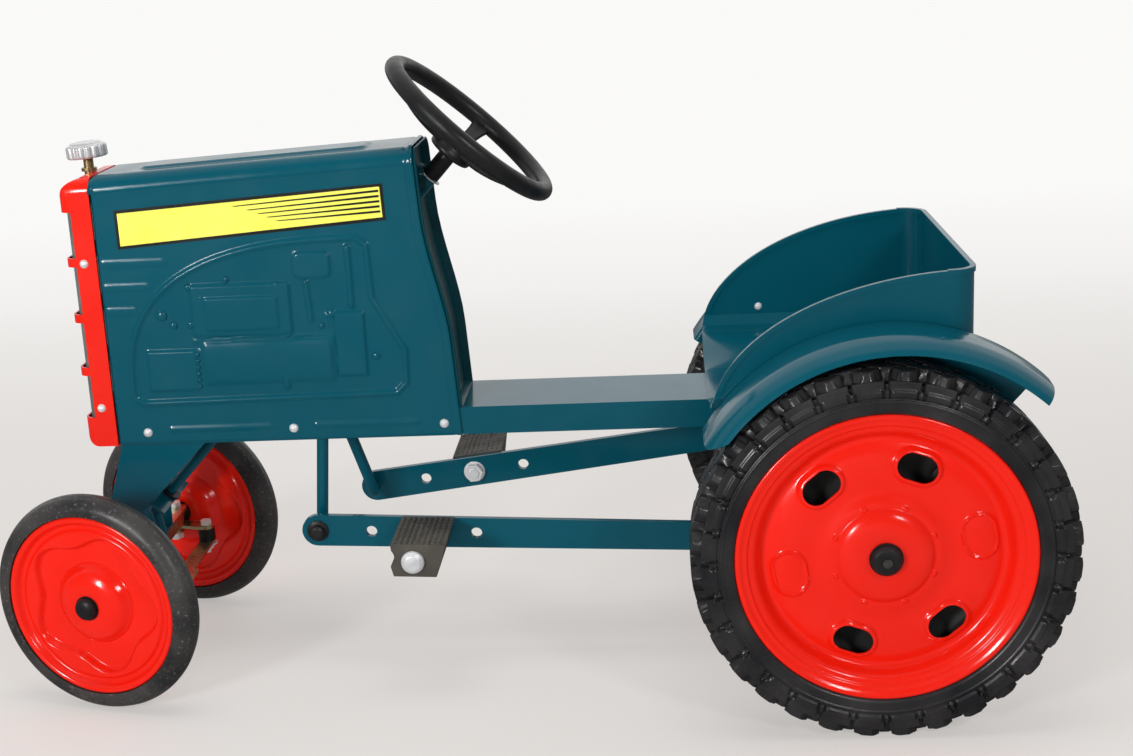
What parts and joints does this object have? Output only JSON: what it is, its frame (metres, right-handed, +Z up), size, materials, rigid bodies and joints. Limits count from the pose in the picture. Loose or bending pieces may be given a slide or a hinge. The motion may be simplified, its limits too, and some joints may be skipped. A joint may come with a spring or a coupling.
{
  "type": "pedal tractor",
  "caption": "Child's ride-on pedal tractor in pressed sheet steel, with a treadle drive on a cranked rear axle, steered front wheels, an embossed engine hood and an open seat tub.",
  "frame": {"origin": "on the ground, below the middle of the bounding box", "axes": "+X forwards, from the rear wheels to the front wheels; +Y to the driver's left; +Z up"},
  "size_m": [0.9536, 0.47, 0.5667],
  "materials": {
    "paint_teal": "glossy enamel",
    "paint_red": "glossy enamel",
    "zinc": "bright zinc plate",
    "yellow_zinc": "yellow zinc plate",
    "tyre_black": "satin",
    "plastic_black": "satin",
    "silver_plastic": "metallised",
    "brass": "dull",
    "mesh_grey": "satin"
  },
  "bodies": {
    "frame": {"chassis_beam": "paint_teal", "front_pedestal": "paint_teal", "front_axle": "yellow_zinc", "chassis_bolts": "zinc", "kingpins": "zinc", "hood": "paint_teal", "hood_screws": "zinc", "grille_shell": "paint_red", "grille_mesh": "mesh_grey", "grille_screws": "zinc", "cap_stem": "brass", "dash_panel": "paint_teal", "column_tube": "paint_teal", "column_washer": "zinc", "lower_bush": "plastic_black", "rear_carrier": "paint_teal", "axle_bushes": "plastic_black", "hanger_rod": "zinc", "seat_tub": "paint_teal", "fender_left": "paint_teal", "fender_right": "paint_teal", "seat_bolts": "zinc"},
    "cap": {"radiator_cap": "silver_plastic"},
    "steering": {"steering_wheel": "plastic_black", "steering_sleeve": "plastic_black", "steering_shaft": "paint_teal"},
    "knuckle_l": {"knuckle_left": "yellow_zinc", "front_cap_left": "plastic_black"},
    "knuckle_r": {"knuckle_right": "yellow_zinc", "front_cap_right": "plastic_black"},
    "track": {"track_rod": "yellow_zinc", "track_rod_bushes": "plastic_black", "track_rod_pins": "zinc"},
    "front_wheel_l": {"front_disc_left": "paint_red", "front_tyre_left": "tyre_black", "front_hub_left": "plastic_black"},
    "front_wheel_r": {"front_disc_right": "paint_red", "front_tyre_right": "tyre_black", "front_hub_right": "plastic_black"},
    "crank": {"crank_axle": "zinc", "axle_washers": "zinc", "rear_caps": "plastic_black"},
    "rear_wheel_l": {"rear_disc_left": "paint_red", "rear_tyre_left": "tyre_black", "rear_hub_left": "plastic_black"},
    "rear_wheel_r": {"rear_disc_right": "paint_red", "rear_tyre_right": "tyre_black", "rear_hub_right": "plastic_black"},
    "treadle_l": {"pedal_bar_left": "paint_teal", "crank_bush_left": "plastic_black", "pedal_bolt_left": "zinc"},
    "treadle_r": {"pedal_bar_right": "paint_teal", "crank_bush_right": "plastic_black", "pedal_bolt_right": "zinc"},
    "hang_l": {"hanger_left": "paint_teal", "hanger_cap_left": "plastic_black"},
    "hang_r": {"hanger_right": "paint_teal", "hanger_cap_right": "plastic_black"},
    "pedal_l": {"pedal_left": "plastic_black"},
    "pedal_r": {"pedal_right": "plastic_black"}
  },
  "joints": [
    {"name": "crank_turn", "type": "hinge", "parent": "frame", "child": "crank", "pos_m": [-0.3168, 0, 0.16], "axis": [0, -1, 0], "range_deg": [-20, 20]},
    {"name": "treadle_turn_l", "type": "hinge", "parent": "crank", "child": "treadle_l", "pos_m": [-0.29957, 0.057, 0.11735], "axis": [0, -1, 0], "range_deg": [-20.7, 20.7]},
    {"name": "treadle_turn_r", "type": "hinge", "parent": "crank", "child": "treadle_r", "pos_m": [-0.33403, -0.057, 0.20265], "axis": [0, -1, 0], "range_deg": [-19, 19]},
    {"name": "hanger_turn_l", "type": "hinge", "parent": "treadle_l", "child": "hang_l", "pos_m": [0.18643, 0.057, 0.13935], "axis": [0, -1, 0], "range_deg": [-9.6, 9.6]},
    {"name": "hanger_turn_r", "type": "hinge", "parent": "treadle_r", "child": "hang_r", "pos_m": [0.14886, -0.057, 0.14354], "axis": [0, -1, 0], "range_deg": [-9.4, 9.4]},
    {"name": "pedal_spin_l", "type": "hinge", "parent": "treadle_l", "child": "pedal_l", "pos_m": [0.08754, 0.0985, 0.13487], "axis": [0, 1, 0], "continuous": true},
    {"name": "pedal_spin_r", "type": "hinge", "parent": "treadle_r", "child": "pedal_r", "pos_m": [0.0506, -0.0985, 0.15557], "axis": [0, 1, 0], "continuous": true},
    {"name": "rear_spin_l", "type": "hinge", "parent": "crank", "child": "rear_wheel_l", "pos_m": [-0.3168, 0.1995, 0.16], "axis": [0, 1, 0], "continuous": true},
    {"name": "rear_spin_r", "type": "hinge", "parent": "crank", "child": "rear_wheel_r", "pos_m": [-0.3168, -0.1995, 0.16], "axis": [0, 1, 0], "continuous": true},
    {"name": "steering_turn", "type": "hinge", "parent": "frame", "child": "steering", "pos_m": [0.0282, 0, 0.4995], "axis": [-0.6794, 0, 0.7337], "range_deg": [-8.5, 28.5]},
    {"name": "knuckle_turn_l", "type": "hinge", "parent": "frame", "child": "knuckle_l", "pos_m": [0.3702, 0.1, 0.102], "axis": [0, 0, 1], "range_deg": [-13.87, 46.27]},
    {"name": "knuckle_turn_r", "type": "hinge", "parent": "frame", "child": "knuckle_r", "pos_m": [0.3702, -0.1, 0.102], "axis": [0, 0, 1], "range_deg": [-13.87, 46.27]},
    {"name": "track_turn", "type": "hinge", "parent": "knuckle_l", "child": "track", "pos_m": [0.33559, 0.10992, 0.085], "axis": [0, 0, 1], "range_deg": [-46.27, 13.87]},
    {"name": "front_spin_l", "type": "hinge", "parent": "knuckle_l", "child": "front_wheel_l", "pos_m": [0.37819, 0.12788, 0.102], "axis": [0.2756, 0.9613, 0], "continuous": true},
    {"name": "front_spin_r", "type": "hinge", "parent": "knuckle_r", "child": "front_wheel_r", "pos_m": [0.36221, -0.12788, 0.102], "axis": [0.2756, 0.9613, 0], "continuous": true},
    {"name": "cap_turn", "type": "hinge", "parent": "frame", "child": "cap", "pos_m": [0.3822, 0, 0.49], "axis": [0, 0, 1], "range_deg": [0, 360]}
  ],
  "couplings": [
    {"joint": "treadle_turn_l", "follows": "crank_turn", "ratio": -1.0279},
    {"joint": "treadle_turn_r", "follows": "crank_turn", "ratio": -0.9411},
    {"joint": "hanger_turn_l", "follows": "crank_turn", "ratio": 0.4731},
    {"joint": "hanger_turn_r", "follows": "crank_turn", "ratio": -0.4619},
    {"joint": "knuckle_turn_l", "follows": "steering_turn", "ratio": 1.62},
    {"joint": "knuckle_turn_r", "follows": "steering_turn", "ratio": 1.62},
    {"joint": "track_turn", "follows": "steering_turn", "ratio": -1.62}
  ]
}
